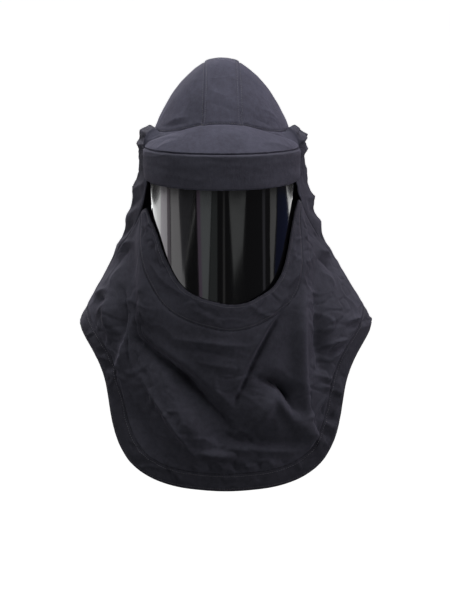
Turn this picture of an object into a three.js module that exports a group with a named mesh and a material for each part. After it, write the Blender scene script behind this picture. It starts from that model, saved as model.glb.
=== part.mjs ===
// Arc flash hood: a cloth crown over a hard hat, a peak and a padded band that carry a curved window,
// and a flared shroud that ends in a stitched hem. Millimetres, +Z up, the face looks towards -Y.
// The origin is the inside top of the crown, where the wearer's hard hat carries the hood.
// A turn is the angle round the head in degrees, 0 at the face and positive to +X.
// A fall is a depth below the origin.
import * as THREE from 'three'

// Cloth
const cloth = 2.4
const seamGap = 0.3

// Crown, whose side panels meet the centre panel over a share of its seam that leaves both ends free
const crownHeight = 142
const crownHalfWidth = 125
const crownFront = 138
const crownBack = 146
const centrePanelHalf = 29
const centrePanelTurn = 16
const panelStep = 2.2
const seamStart = 0.03

// Window, an ellipse in plan whose centre lies in front of the head's axis
const windowHalfWidth = 126
const windowBow = 110
const windowSetback = 70
const windowWall = 2
const windowTuck = 20
const windowTurn = 59.5
const windowSideLift = 0.42

// Visor band in front of the top of the window
const bandFall = 149
const bandHeight = 63
const bandEndLift = 9
const bandPadding = 11.5
const bandRound = 5
const bandTurn = 63.5

// Peak, which fades into the gusset over a few degrees
const peakCrown = 4
const peakFade = 4
const peakFoldDepth = 0.95
const gussetStart = 34.5
const gussetSink = 9
const gussetEdgeTurn = 54

// Face opening. The band's low edge cuts it off at a small share of its depth.
const openingDepth = 208
const openingCut = 0.034
const facingWidth = 47
const facingClearance = 6
const hugDepth = 70
const hugTurns = [48, 66]
const rollWidth = 7
const rollThickness = 5
const openingEdgeTurn = 67.5

// Shroud
const neckFall = 250
const neckHalf = 160
const neckBack = 134
const shoulderFall = 480
const shoulderHalf = 260
const shoulderBack = 163
const hemFall = 742
const hemFront = 172
const hemSide = 262
const hemBack = 170
const hemWidth = 30
const backHemLift = 10
const shroudShift = 7
const puffOut = 19
const puffLift = 16.6
const puffTurns = [100, 150]
const smoothSide = 12
const backHemTurn = 130
const sideSeamFall = 355

// How far the crown reaches from its centre, as a share of the sizes above, by the angle of rise
const crownProfile = [
  { rise: 0, reach: 1 },
  { rise: 13, reach: 0.93 },
  { rise: 26, reach: 0.897 },
  { rise: 40, reach: 0.903 },
  { rise: 52, reach: 0.916 },
  { rise: 66, reach: 0.949 },
  { rise: 79, reach: 0.987 },
  { rise: 90, reach: 1 },
]

// How low the crown's lower seam runs, as a share of the crown's height
const crownSeam = [
  { turn: 16, fall: 0.736 },
  { turn: 31, fall: 0.792 },
  { turn: 62, fall: 0.866 },
  { turn: 90, fall: 0.873 },
  { turn: 164, fall: 0.979 },
]

// Plan sections of the shroud, as shares of an ellipse through the sizes of that level
const sections = [
  { turn: 0, neck: 1, shoulder: 1, hem: 1 },
  { turn: 30, neck: 1.013, shoulder: 0.955, hem: 1.055 },
  { turn: 45, neck: 0.995, shoulder: 0.935, hem: 1.085 },
  { turn: 60, neck: 0.965, shoulder: 0.942, hem: 1.1 },
  { turn: 68, neck: 0.94, shoulder: 0.955, hem: 1.07 },
  { turn: 90, neck: 1, shoulder: 1, hem: 1 },
  { turn: 120, neck: 1.02, shoulder: 1.02, hem: 1.08 },
  { turn: 150, neck: 1.02, shoulder: 1.045, hem: 1.04 },
  { turn: 180, neck: 1, shoulder: 1, hem: 1 },
]

// How the shroud widens from the neck, 0, to the shoulders, 1
const flare = [
  { down: 0, out: 0 },
  { down: 0.27, out: 0.17 },
  { down: 0.46, out: 0.38 },
  { down: 0.64, out: 0.61 },
  { down: 0.82, out: 0.86 },
  { down: 1, out: 1 },
]

// The bunched cloth beside the crown, from the crown's seam, 0, to the neck, 1
const puff = [
  { down: 0, out: 0, lift: 0 },
  { down: 0.06, out: 0.27, lift: 0.9 },
  { down: 0.12, out: 0.74, lift: 1 },
  { down: 0.2, out: 1, lift: 0.8 },
  { down: 0.35, out: 0.77, lift: 0.6 },
  { down: 0.55, out: 0.14, lift: 0.3 },
  { down: 1, out: 0, lift: 0 },
]

// How low the hem hangs, as a share of its fall at the middle of the front
const hemLine = [
  { turn: 0, fall: 1 },
  { turn: 23, fall: 0.992 },
  { turn: 35, fall: 0.978 },
  { turn: 45, fall: 0.951 },
  { turn: 50.7, fall: 0.924 },
  { turn: 54, fall: 0.896 },
  { turn: 58.7, fall: 0.842 },
  { turn: 64.2, fall: 0.76 },
  { turn: 70, fall: 0.708 },
  { turn: 80, fall: 0.656 },
  { turn: 90, fall: 0.628 },
]

// The inner edge of the facing, left to right. Its fall is a share of the opening's depth below the band.
// The outer edge lies across and down from it, as shares of the facing's width.
const opening = [
  { along: -1, turn: -58, fall: 0.236, across: -0.556, down: 0.19 },
  { along: -0.8, turn: -43.8, fall: 0.417, across: -0.78, down: 0.6 },
  { along: -0.6, turn: -35.2, fall: 0.642, across: -0.82, down: 0.58 },
  { along: -0.4, turn: -24.6, fall: 0.853, across: -0.7, down: 0.74 },
  { along: -0.25, turn: -17.2, fall: 0.922, across: -0.41, down: 0.91 },
  { along: -0.1, turn: -7, fall: 0.97, across: -0.2, down: 0.98 },
  { along: 0.05, turn: 3, fall: 1, across: 0, down: 1 },
  { along: 0.15, turn: 9, fall: 0.998, across: 0.17, down: 0.93 },
  { along: 0.3, turn: 19, fall: 0.94, across: 0.4, down: 0.8 },
  { along: 0.45, turn: 29.5, fall: 0.858, across: 0.55, down: 0.66 },
  { along: 0.6, turn: 38.6, fall: 0.7, across: 0.6, down: 0.46 },
  { along: 0.75, turn: 47.3, fall: 0.424, across: 0.55, down: 0.27 },
  { along: 0.87, turn: 54, fall: 0.25, across: 0.45, down: 0.13 },
  { along: 1, turn: 61.7, fall: 0.168, across: 0.34, down: 0.13 },
]

// Folds of the shroud: a ridge or, with a negative height, a valley from one place to another.
// Across is a share of the shoulders' half width, down of the hem's fall, and the rest is in millimetres.
const frontFolds = [
  { across: -0.58, down: 0.64, toAcross: -0.25, toDown: 0.734, width: 22, height: -16 },
  { across: -0.25, down: 0.734, toAcross: 0.06, toDown: 0.85, width: 19, height: -15 },
  { across: 0.44, down: 0.566, toAcross: 0.1, toDown: 0.784, width: 9, height: -5 },
  { across: -0.44, down: 0.73, toAcross: -0.15, toDown: 0.912, width: 18, height: 9 },
  { across: 0.27, down: 0.73, toAcross: 0.41, toDown: 0.765, width: 10, height: -9 },
  { across: 0.41, down: 0.765, toAcross: 0.48, toDown: 0.8, width: 10, height: -9 },
  { across: 0.22, down: 0.79, toAcross: 0.36, toDown: 0.81, width: 30, height: 9 },
  { across: 0.5, down: 0.59, toAcross: 0.57, toDown: 0.79, width: 13, height: 7 },
  { across: 0.65, down: 0.5, toAcross: 0.64, toDown: 0.69, width: 15, height: -11 },
  { across: -0.54, down: 0.4, toAcross: -0.55, toDown: 0.59, width: 11, height: 6 },
  { across: -0.55, down: 0.59, toAcross: -0.7, toDown: 0.755, width: 12, height: 7 },
  { across: -0.72, down: 0.52, toAcross: -0.75, toDown: 0.62, width: 12, height: 5 },
  { across: -0.62, down: 0.46, toAcross: -0.64, toDown: 0.66, width: 13, height: -7 },
  { across: -0.02, down: 0.87, toAcross: 0.45, toDown: 0.885, width: 14, height: -5 },
]
const backFolds = [
  { across: -0.16, down: 0.4, toAcross: -0.2, toDown: 0.95, width: 26, height: 8 },
  { across: 0.14, down: 0.36, toAcross: 0.24, toDown: 0.95, width: 28, height: 9 },
  { across: 0.0, down: 0.5, toAcross: 0.02, toDown: 0.9, width: 24, height: -8 },
  { across: -0.46, down: 0.42, toAcross: -0.58, toDown: 0.8, width: 24, height: 9 },
  { across: 0.5, down: 0.42, toAcross: 0.6, toDown: 0.8, width: 22, height: 8 },
  { across: 0.36, down: 0.5, toAcross: 0.42, toDown: 0.9, width: 20, height: -7 },
  { across: -0.33, down: 0.48, toAcross: -0.4, toDown: 0.9, width: 22, height: -8 },
]

// Columns shared by every panel that meets another round the head
const frontTurns = [
  0, 8, 16, 23, 29, 34.5, 39.5, 44, 48, 51.5, 54.5, 57, 60, 63.5, 67.5, 71, 76, 80.5, 85, 90,
]
const backTurns = [90, 97, 105, 113, 120, 126, 132, 138, 143, 149, 156, 164, 172, 180]

// Rows of the panels that start at the crown's seam, close together where the cloth bunches
const sideRows = [0, 0.035, 0.07, 0.115, 0.17, 0.23, 0.31, 0.4, 0.52, 0.65, 0.82, 1]
const backRows = [0, 0.025, 0.05, 0.08, 0.12, 0.17, 0.23, 0.31, 0.4, 0.5, 0.62, 0.74, 0.87, 1]

const { degToRad, radToDeg, lerp, smoothstep } = THREE.MathUtils
const sin = (turn) => Math.sin(degToRad(turn))
const cos = (turn) => Math.cos(degToRad(turn))

// Reads a column of a table smoothly, between rows whose key rises
function read(rows, key, column, at) {
  const last = rows.length - 1
  if (at <= rows[0][key]) return rows[0][column]
  if (at >= rows[last][key]) return rows[last][column]
  const i = rows.findIndex((row) => row[key] > at) - 1
  const slope = (k) => (rows[k + 1][column] - rows[k][column]) / (rows[k + 1][key] - rows[k][key])
  const tangent = (k) => {
    if (k === 0 || k === last) return 0
    const product = slope(k - 1) * slope(k)
    return product <= 0 ? 0 : (2 * product) / (slope(k - 1) + slope(k))
  }
  const span = rows[i + 1][key] - rows[i][key]
  const t = (at - rows[i][key]) / span
  const low = rows[i][column] * (1 + 2 * t) + tangent(i) * span * t
  const high = rows[i + 1][column] * (3 - 2 * t) - tangent(i + 1) * span * (1 - t)
  return low * (1 - t) ** 2 + high * t ** 2
}

// The input, between low and high, at which a rising function reaches a goal
function solve(rising, goal, low, high) {
  for (let step = 0; step < 40; step++) {
    const middle = (low + high) / 2
    if (rising(middle) < goal) low = middle
    else high = middle
  }
  return (low + high) / 2
}

// How far a point is pushed out by a list of folds, seen straight from the front or back
function foldHeight(folds, x, fall) {
  const point = new THREE.Vector2(x, fall)
  return folds.reduce((sum, fold) => {
    const start = new THREE.Vector2(fold.across * shoulderHalf, fold.down * hemFall)
    const run = new THREE.Vector2(fold.toAcross * shoulderHalf, fold.toDown * hemFall).sub(start)
    const share = THREE.MathUtils.clamp(point.clone().sub(start).dot(run) / run.lengthSq(), 0, 1)
    const away = point.distanceTo(start.add(run.multiplyScalar(share)))
    return sum + fold.height * Math.exp(-((away / fold.width) ** 2))
  }, 0)
}

// Crown. A direction is a unit vector in a space where the crown is a sphere.
function crownPoint(direction) {
  const rise = radToDeg(Math.asin(THREE.MathUtils.clamp(direction.z, -1, 1)))
  const reach = read(crownProfile, 'rise', 'reach', rise)
  const depth = direction.y < 0 ? crownFront : crownBack
  const point = new THREE.Vector3(crownHalfWidth, depth, crownHeight + cloth).multiply(direction)
  return point.multiplyScalar(reach).sub(new THREE.Vector3(0, 0, crownHeight))
}

function crownNormal(direction) {
  const small = 0.002
  const sideways = new THREE.Vector3(-direction.y, direction.x, 0)
  if (sideways.lengthSq() < small) sideways.set(1, 0, 0)
  sideways.normalize()
  const upward = direction.clone().cross(sideways)
  const step = (axis, size) => crownPoint(direction.clone().addScaledVector(axis, size).normalize())
  const along = step(sideways, small).sub(step(sideways, -small))
  const normal = along.cross(step(upward, small).sub(step(upward, -small))).normalize()
  return normal.dot(direction) < 0 ? normal.negate() : normal
}

function crownDirection(turn, fall) {
  const depth = Math.abs(turn) < 90 ? crownFront : crownBack
  const plan = new THREE.Vector2(sin(turn) / crownHalfWidth, -cos(turn) / depth).normalize()
  const height = (rise) => sin(rise) * read(crownProfile, 'rise', 'reach', rise)
  const rise = solve(height, (crownHeight - fall) / (crownHeight + cloth), -5, 90)
  return new THREE.Vector3(plan.x * cos(rise), plan.y * cos(rise), sin(rise))
}

// The crown's lower seam. Below the centre panel it is a straight cut between that panel's corners.
function crownSeamDirection(turn, lift = 0) {
  const wrapped = turn > 180 ? turn - 360 : turn
  const size = Math.abs(wrapped)
  const fallAt = (corner) => read(crownSeam, 'turn', 'fall', corner) * crownHeight - lift
  const backCorner = 180 - centrePanelTurn
  if (size >= centrePanelTurn && size <= backCorner) return crownDirection(wrapped, fallAt(size))
  const corner = size < 90 ? centrePanelTurn : backCorner
  const right = crownDirection(corner, fallAt(corner))
  const left = crownDirection(-corner, fallAt(corner))
  const beyond = size < 90 ? wrapped : Math.sign(wrapped) * (180 - size)
  return left.lerp(right, (beyond + centrePanelTurn) / (2 * centrePanelTurn)).normalize()
}

// The seam beside the centre panel, from the front corner, 0, over the top to the back corner, 1
function centreSeamDirection(along, shift) {
  const corners = [centrePanelTurn, 180 - centrePanelTurn].map((turn) => crownSeamDirection(turn))
  const angles = corners.map((corner) => Math.atan2(corner.z, -corner.y))
  const angle = lerp(angles[0], angles[1], along)
  const cornerHalf = crownPoint(corners[along < 0.5 ? 0 : 1]).x
  const half = lerp(centrePanelHalf, cornerHalf, (2 * along - 1) ** 2) + shift
  const direction = new THREE.Vector3()
  let x = half / crownHalfWidth
  for (let step = 0; step < 8; step++) {
    const rest = Math.sqrt(1 - x * x)
    direction.set(x, -rest * Math.cos(angle), rest * Math.sin(angle))
    x *= half / crownPoint(direction).x
  }
  return direction
}

// Window and band: the distance from the head's axis to an ellipse that lies outside the window
function windowReach(turn, outside) {
  const half = windowHalfWidth + outside
  const bow = windowBow + outside
  const a = (sin(turn) / half) ** 2 + (cos(turn) / bow) ** 2
  const b = (windowSetback * cos(turn)) / bow ** 2
  const c = (windowSetback / bow) ** 2 - 1
  return (b + Math.sqrt(b * b - a * c)) / a
}

function windowPoint(turn, outside, fall) {
  const reach = windowReach(turn, outside)
  return new THREE.Vector3(reach * sin(turn), -reach * cos(turn), -fall)
}

const bandLowFall = (turn) => bandFall + bandHeight - bandEndLift * (turn / bandTurn) ** 2

// Shroud
function ellipseReach(turn, front, side, back) {
  const depth = Math.abs(turn) < 90 ? front : back
  return 1 / Math.hypot(cos(turn) / depth, sin(turn) / side)
}

function shroudReach(turn, fall) {
  const size = Math.abs(turn)
  const frontReach = windowSetback + windowBow + facingClearance
  const share = (level) => read(sections, 'turn', level, size)
  const neck = share('neck') * ellipseReach(size, frontReach, neckHalf, neckBack)
  const shoulder = share('shoulder') * ellipseReach(size, frontReach, shoulderHalf, shoulderBack)
  const hem = share('hem') * ellipseReach(size, hemFront, hemSide, hemBack)
  const down = (fall - neckFall) / (shoulderFall - neckFall)
  const wide = lerp(neck, shoulder, read(flare, 'down', 'out', down))
  return lerp(wide, hem, smoothstep(fall, shoulderFall, hemFall))
}

// How closely the cloth hugs the window, 1 on the facing's inner edge and 0 well below or beside it
function hugAt(turn, fall) {
  const share = read(opening, 'turn', 'fall', turn)
  const edgeFall = bandFall + bandHeight + openingDepth * (share - openingCut)
  const beside = smoothstep(Math.abs(turn), ...hugTurns)
  return (1 - smoothstep(fall - edgeFall, 0, hugDepth)) * (1 - beside)
}

// A point of the outside of the shroud. Above the neck it runs up to the crown's seam over the bunched cloth.
function shroudPoint(turn, fall) {
  const wrapped = turn > 180 ? turn - 360 : turn
  const size = Math.abs(wrapped)
  const seam = crownPoint(crownSeamDirection(turn))
  const down = THREE.MathUtils.clamp((fall + seam.z) / (neckFall + seam.z), 0, 1)
  const bunched = 1 - smoothstep(size, ...puffTurns)
  const neckReach = shroudReach(wrapped, Math.max(fall, neckFall))
  const reach = lerp(Math.hypot(seam.x, seam.y), neckReach, down)
  const out = bunched * puffOut * read(puff, 'down', 'out', down)
  const lift = bunched * puffLift * read(puff, 'down', 'lift', down)
  const shift = shroudShift * smoothstep(fall, neckFall, shoulderFall)
  const plain = (reach + out) * sin(wrapped)
  const folds = size < 90 ? frontFolds : backFolds
  const below = smoothstep(fall, neckFall, neckFall + openingDepth / 2)
  const fade = below * smoothstep(Math.abs(size - 90), 0, smoothSide)
  const folded = reach + out + fade * foldHeight(folds, plain, fall)
  const hug = size < hugTurns[1] ? hugAt(wrapped, fall) : 0
  const pushed = lerp(folded, windowReach(wrapped, facingClearance), hug)
  return new THREE.Vector3(pushed * sin(wrapped) + shift, -pushed * cos(wrapped), lift - fall)
}

// The way the shroud's outside faces at a place given by its turn and fall
function shroudNormal({ turn, fall }) {
  const small = 0.2
  const across = shroudPoint(turn + small, fall).sub(shroudPoint(turn - small, fall))
  const down = shroudPoint(turn, fall + small).sub(shroudPoint(turn, fall))
  return down.cross(across).normalize()
}

// The facing's edges as a turn and a fall. Arc lengths are taken at the window's face.
const arcPerDegree = () => degToRad(windowSetback + windowBow)

function facingEdge(along, width) {
  const value = (column) => read(opening, 'along', column, along)
  const turn = value('turn') + (value('across') * width) / arcPerDegree()
  const fall = bandFall + bandHeight + openingDepth * (value('fall') - openingCut) + value('down') * width
  return { turn, fall }
}

const facingAlong = (turn) => solve((along) => facingEdge(along, facingWidth).turn, turn, -1, 1)

// The top edge of the bib: the facing's outer seam, then a seam that falls to the side of the shoulder
function bibTop(turn) {
  const low = facingEdge(facingAlong(turn), facingWidth).fall
  const size = Math.abs(turn)
  if (size <= openingEdgeTurn) return low
  return lerp(low, sideSeamFall, (size - openingEdgeTurn) / (90 - openingEdgeTurn))
}

// The hem's edge, and the seam inside it where the hem band meets the panel above
function hemEdge(turn) {
  const size = Math.abs(turn)
  const front = size <= 90
  const fall = hemFall * read(hemLine, 'turn', 'fall', front ? size : 180 - size)
  return fall - (front ? 0 : backHemLift * smoothstep(size, 90, backHemTurn))
}

function hemOffset(turn, width) {
  const small = 0.05
  const perDegree = degToRad(shroudReach(turn, hemEdge(turn)))
  const slope = (hemEdge(turn + small) - hemEdge(turn - small)) / (2 * small * perDegree)
  const length = Math.hypot(1, slope)
  return { turn: turn + (width * slope) / length / perDegree, fall: hemEdge(turn) - width / length }
}

function hemFoot(turn, low, high) {
  if (turn <= low || turn >= high) return turn
  return solve((at) => hemOffset(at, hemWidth).turn, turn, low, high)
}

// A closed wall from a grid of points on its outer face.
// Rows go down, and columns to the right for someone who looks at the outer face.
function wallGeometry(outer, normals, thickness) {
  const rows = outer.length
  const columns = outer[0].length
  const inward = (point, r, c) => point.clone().addScaledVector(normals[r][c], -thickness)
  const inner = outer.map((row, r) => row.map((point, c) => inward(point, r, c)))
  const positions = [...outer.flat(), ...inner.flat()].flatMap((point) => point.toArray())
  const out = (r, c) => r * columns + c
  const back = (r, c) => rows * columns + out(r, c)
  const faces = []
  const quad = (a, b, c, d) => faces.push(a, b, c, a, c, d)
  for (let r = 0; r < rows - 1; r++) {
    for (let c = 0; c < columns - 1; c++) {
      quad(out(r, c), out(r + 1, c), out(r + 1, c + 1), out(r, c + 1))
      quad(back(r, c), back(r, c + 1), back(r + 1, c + 1), back(r + 1, c))
    }
    quad(out(r + 1, 0), out(r, 0), back(r, 0), back(r + 1, 0))
    quad(out(r, columns - 1), out(r + 1, columns - 1), back(r + 1, columns - 1), back(r, columns - 1))
  }
  for (let c = 0; c < columns - 1; c++) {
    quad(out(0, c), out(0, c + 1), back(0, c + 1), back(0, c))
    quad(out(rows - 1, c + 1), out(rows - 1, c), back(rows - 1, c), back(rows - 1, c + 1))
  }
  return indexedGeometry(positions, faces)
}

function indexedGeometry(positions, faces) {
  const geometry = new THREE.BufferGeometry()
  geometry.setAttribute('position', new THREE.Float32BufferAttribute(positions, 3))
  geometry.setIndex(faces)
  return geometry
}

// The slope of a line of points at one of them, from its neighbours on both sides or the two on one side
function slopeAt(line, i) {
  const last = line.length - 1
  const mix = (a, b, c) => line[a].clone().multiplyScalar(-3).addScaledVector(line[b], 4).sub(line[c])
  if (last === 1) return line[1].clone().sub(line[0])
  if (i === 0) return mix(0, 1, 2)
  if (i === last) return mix(last, last - 1, last - 2).negate()
  return line[i + 1].clone().sub(line[i - 1])
}

function gridNormals(grid) {
  const columns = grid[0].map((_, c) => grid.map((row) => row[c]))
  const normalAt = (r, c) => slopeAt(columns[c], r).cross(slopeAt(grid[r], c)).normalize()
  return grid.map((row, r) => row.map((_, c) => normalAt(r, c)))
}

// Draws each border of a grid back by half a seam gap, square to the border.
// So two panels on one seam stay a seam gap apart.
function drawnBack(grid, { top = true, bottom = true, left = true, right = true } = {}) {
  const moved = grid.map((row) => row.map((point) => point.clone()))
  const columns = grid[0].map((_, c) => grid.map((row) => row[c]))
  const lastRow = grid.length - 1
  const lastColumn = grid[0].length - 1
  const draw = (r, c, border, inward) => {
    const step = inward.addScaledVector(border, -inward.dot(border) / border.lengthSq())
    moved[r][c].addScaledVector(step.normalize(), seamGap / 2)
  }
  columns.forEach((column, c) => {
    if (top) draw(0, c, slopeAt(grid[0], c), column[1].clone().sub(column[0]))
    if (bottom) draw(lastRow, c, slopeAt(grid[lastRow], c), column[lastRow - 1].clone().sub(column[lastRow]))
  })
  const [first, end] = [columns[0], columns[lastColumn]]
  grid.forEach((row, r) => {
    if (left) draw(r, 0, slopeAt(first, r), row[1].clone().sub(row[0]))
    if (right) draw(r, lastColumn, slopeAt(end, r), row[lastColumn - 1].clone().sub(row[lastColumn]))
  })
  return moved
}

// A closed body through rings of points, with flat ends
function ringGeometry(rings) {
  const count = rings[0].length
  const positions = rings.flat().flatMap((point) => point.toArray())
  const faces = []
  for (let r = 0; r < rings.length - 1; r++) {
    for (let c = 0; c < count; c++) {
      const next = (c + 1) % count
      const [a, b] = [r * count + c, r * count + next]
      faces.push(a, b, b + count, a, b + count, a + count)
    }
  }
  const last = (rings.length - 1) * count
  for (let c = 1; c < count - 1; c++) {
    faces.push(0, c + 1, c)
    faces.push(last, last + c, last + c + 1)
  }
  return indexedGeometry(positions, faces)
}

const finishes = {
  crown: { color: 0x43424d, roughness: 0.85, metalness: 0 },
  shroud: { color: 0x2e2d36, roughness: 0.88, metalness: 0 },
  band: { color: 0x35343d, roughness: 0.82, metalness: 0 },
  window: { color: 0x17171a, roughness: 0.08, metalness: 0 },
  hem: { color: 0x26252d, roughness: 0.88, metalness: 0 },
}

const hood = new THREE.Group()

function addPiece(name, geometry, finish) {
  const mesh = new THREE.Mesh(geometry, new THREE.MeshStandardMaterial(finishes[finish]))
  mesh.name = name
  hood.add(mesh)
}

function addPanel(name, grid, finish, borders) {
  const panel = drawnBack(grid, borders)
  addPiece(name, wallGeometry(panel, gridNormals(panel), cloth), finish)
}

// A panel on the shroud, from a grid of places
function addShroudPanel(name, places, finish, borders) {
  const panel = drawnBack(places.map((row) => row.map(({ turn, fall }) => shroudPoint(turn, fall))), borders)
  addPiece(name, wallGeometry(panel, places.map((row) => row.map(shroudNormal)), cloth), finish)
}

const mirrored = (turns) => [...turns.slice(1).reverse().map((turn) => -turn), ...turns]

// Crown panels
function crownWall(name, directions, seamRows, lift) {
  const normals = directions.map((row) => row.map(crownNormal))
  seamRows.forEach((r) => normals[r].forEach((normal) => normal.setZ(0).normalize()))
  const outer = directions.map((row, r) => row.map((direction, c) => {
    return crownPoint(direction).addScaledVector(normals[r][c], lift(c / (row.length - 1)))
  }))
  addPiece(name, wallGeometry(outer, normals, cloth), 'crown')
}

const crownTurns = [...frontTurns, ...backTurns.slice(1)]
  .filter((turn) => turn >= centrePanelTurn && turn <= 180 - centrePanelTurn)
const seamShare = (turn) => {
  const share = (turn - centrePanelTurn) / (180 - 2 * centrePanelTurn)
  return lerp(seamStart, 1 - seamStart, share)
}

function addCrownCentre() {
  const columns = 6
  const alongs = [0, ...crownTurns.map(seamShare), 1]
  const half = seamGap / 2
  const rows = alongs.map((along) => {
    const right = centreSeamDirection(along, -half)
    const left = right.clone().setX(-right.x)
    return Array.from({ length: columns + 1 }, (_, c) => left.clone().lerp(right, c / columns).normalize())
  })
  const endTurn = centrePanelTurn - radToDeg(seamGap / (2 * crownFront))
  const ends = [0, rows.length - 1]
  ends.forEach((end) => {
    rows[end] = rows[end].map((_, c) => {
      const turn = lerp(-endTurn, endTurn, c / columns)
      return crownSeamDirection(end === 0 ? turn : 180 - turn, half)
    })
  })
  const bowed = (across) => panelStep * (2 * across - 1) ** 2
  crownWall('crown_centre', rows.reverse(), ends, bowed)
}

function addCrownSide(name, side) {
  const rows = 6
  const half = seamGap / 2
  const turnGap = radToDeg(half / crownFront)
  const columns = crownTurns.map((turn, i) => {
    const top = centreSeamDirection(seamShare(turn), half)
    const inward = i === 0 ? turnGap : i === crownTurns.length - 1 ? -turnGap : 0
    const low = crownSeamDirection(turn + inward, half)
    return Array.from({ length: rows + 1 }, (_, r) => {
      const direction = top.clone().lerp(low, r / rows).normalize()
      return direction.setX(direction.x * side)
    })
  })
  const ordered = side > 0 ? columns : columns.reverse()
  crownWall(name, ordered[0].map((_, r) => ordered.map((column) => column[r])), [rows], () => 0)
}

// Peak and gussets, between the crown's seam and the top of the band
function foldShare(turn) {
  const start = gussetStart - peakFade
  const share = (Math.abs(turn) - start) / (openingEdgeTurn - start)
  return share <= 0 ? 0 : peakFoldDepth * share ** 1.2
}

function peakPoint(turn, share) {
  const top = crownPoint(crownSeamDirection(turn))
  const size = Math.min(Math.abs(turn), bandTurn)
  const edge = seamGap + bandPadding - 0.4 * bandRound
  const low = windowPoint(Math.sign(turn) * size, edge, bandFall - 0.82 * cloth - seamGap / 2)
  const bulge = peakCrown * 4 * share * (1 - share)
  return top.lerp(low, share).add(new THREE.Vector3(0, -bulge * 0.5, bulge))
}

function addPeak() {
  const rows = 4
  const turns = mirrored(frontTurns.filter((turn) => turn <= bandTurn))
  const grid = Array.from({ length: rows + 1 }, (_, r) =>
    turns.map((turn) => peakPoint(turn, lerp(foldShare(turn), 1, r / rows))))
  addPanel('peak', grid, 'crown')
}

// The fall at which the bunched cloth lies at a given depth
function fallAtDepth(turn, depth) {
  return solve((fall) => -shroudPoint(turn, fall).z, depth, depth, depth + 2 * puffLift)
}

function addGusset(name, side) {
  const rows = 5
  const turns = frontTurns.filter((turn) => turn >= gussetStart && turn <= openingEdgeTurn)
  const edgeTurn = openingEdgeTurn - radToDeg((cloth + seamGap) / neckHalf)
  const edgeTop = -crownPoint(crownSeamDirection(edgeTurn)).z
  const edgeLow = fallAtDepth(edgeTurn, bandFall + cloth)
  const lap = new THREE.Vector3(0, 0.6, -1).multiplyScalar(cloth + seamGap)
  const grid = Array.from({ length: rows + 1 }, (_, r) => {
    const share = r / rows
    const row = turns.map((turn) => {
      const plain = peakPoint(turn * side, foldShare(turn) * share).addScaledVector(lap, share)
      const sink = 4 * share * (1 - share) * gussetSink * foldShare(turn)
      plain.add(new THREE.Vector3(0, 0.5, -1).multiplyScalar(sink))
      const edge = shroudPoint(edgeTurn * side, lerp(edgeTop, edgeLow, share))
      return plain.lerp(edge, smoothstep(turn, gussetEdgeTurn, openingEdgeTurn))
    })
    return side > 0 ? row : row.reverse()
  })
  addPanel(name, grid, 'crown')
}

// Padded band: a rounded section carried round the window
function addBand() {
  const corner = 3
  const turns = mirrored(frontTurns.filter((turn) => turn <= bandTurn))
  const rings = turns.map((turn) => {
    const low = bandLowFall(turn)
    const outer = seamGap + bandPadding
    const points = [windowPoint(turn, seamGap, low), windowPoint(turn, seamGap, bandFall)]
    for (let i = 0; i <= corner; i++) {
      const angle = (90 * i) / corner
      const [inward, down] = [bandRound * (1 - sin(angle)), bandRound * (1 - cos(angle))]
      points.push(windowPoint(turn, outer - inward, bandFall + down))
    }
    points.push(windowPoint(turn, outer, (bandFall + low) / 2))
    for (let i = 0; i <= corner; i++) {
      const angle = (90 * i) / corner
      const [inward, up] = [bandRound * (1 - cos(angle)), bandRound * (1 - sin(angle))]
      points.push(windowPoint(turn, outer - inward, low - up))
    }
    return points
  })
  addPiece('visor_band', ringGeometry(rings), 'band')
}

// Curved window, lower in the middle than at its sides
function addWindow() {
  const rows = 4
  const turns = mirrored([...frontTurns.filter((turn) => turn < windowTurn - 1), windowTurn])
  const grid = Array.from({ length: rows + 1 }, (_, r) => turns.map((turn) => {
    const top = bandFall + bandRound
    const depth = openingDepth * (1 - windowSideLift * (turn / windowTurn) ** 4) + windowTuck
    const low = bandFall + bandHeight + depth
    return windowPoint(turn, 0, lerp(top, low, r / rows))
  }))
  addPiece('window', wallGeometry(grid, gridNormals(grid), windowWall), 'window')
}

// Rolled edges of the opening beside the band
function addEdgeRoll(name, side) {
  const sides = 8
  const steps = 8
  const top = fallAtDepth(openingEdgeTurn, bandFall + cloth)
  const low = facingEdge(side, 0).fall - cloth
  const spread = radToDeg(rollWidth / neckHalf)
  const middle = openingEdgeTurn - radToDeg(seamGap / neckHalf) - spread / 2
  const rings = Array.from({ length: steps + 1 }, (_, r) => {
    const fall = lerp(top, low, r / steps)
    const edge = shroudPoint(openingEdgeTurn * side, fall)
    const reach = Math.hypot(edge.x, edge.y) - rollThickness / 2 + cloth / 2
    return Array.from({ length: sides }, (_, i) => {
      const angle = (360 * i) / sides
      const turn = (middle + (spread / 2) * cos(angle)) * side
      const out = reach + (rollThickness / 2) * sin(angle)
      return new THREE.Vector3(out * sin(turn), -out * cos(turn), edge.z)
    })
  })
  addPiece(name, ringGeometry(side > 0 ? rings : rings.map((ring) => ring.reverse())), 'band')
}

// Facing, bib, side panels, back and hems, all on the shroud
function addFacing() {
  const rows = 3
  const turns = mirrored(frontTurns.filter((turn) => turn <= openingEdgeTurn))
  const grid = Array.from({ length: rows + 1 }, (_, r) => turns.map((turn) => {
    const along = facingAlong(turn)
    const inner = facingEdge(along, 0)
    return { turn: lerp(inner.turn, turn, r / rows), fall: lerp(inner.fall, bibTop(turn), r / rows) }
  }))
  addShroudPanel('opening_facing', grid, 'shroud')
}

function addBib() {
  const rows = 13
  const turns = mirrored(frontTurns)
  const grid = Array.from({ length: rows + 1 }, (_, r) => turns.map((turn) => {
    const low = hemOffset(hemFoot(turn, -90, 90), hemWidth).fall
    return { turn, fall: lerp(bibTop(turn), low, r / rows) }
  }))
  addShroudPanel('bib', grid, 'shroud')
}

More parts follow.
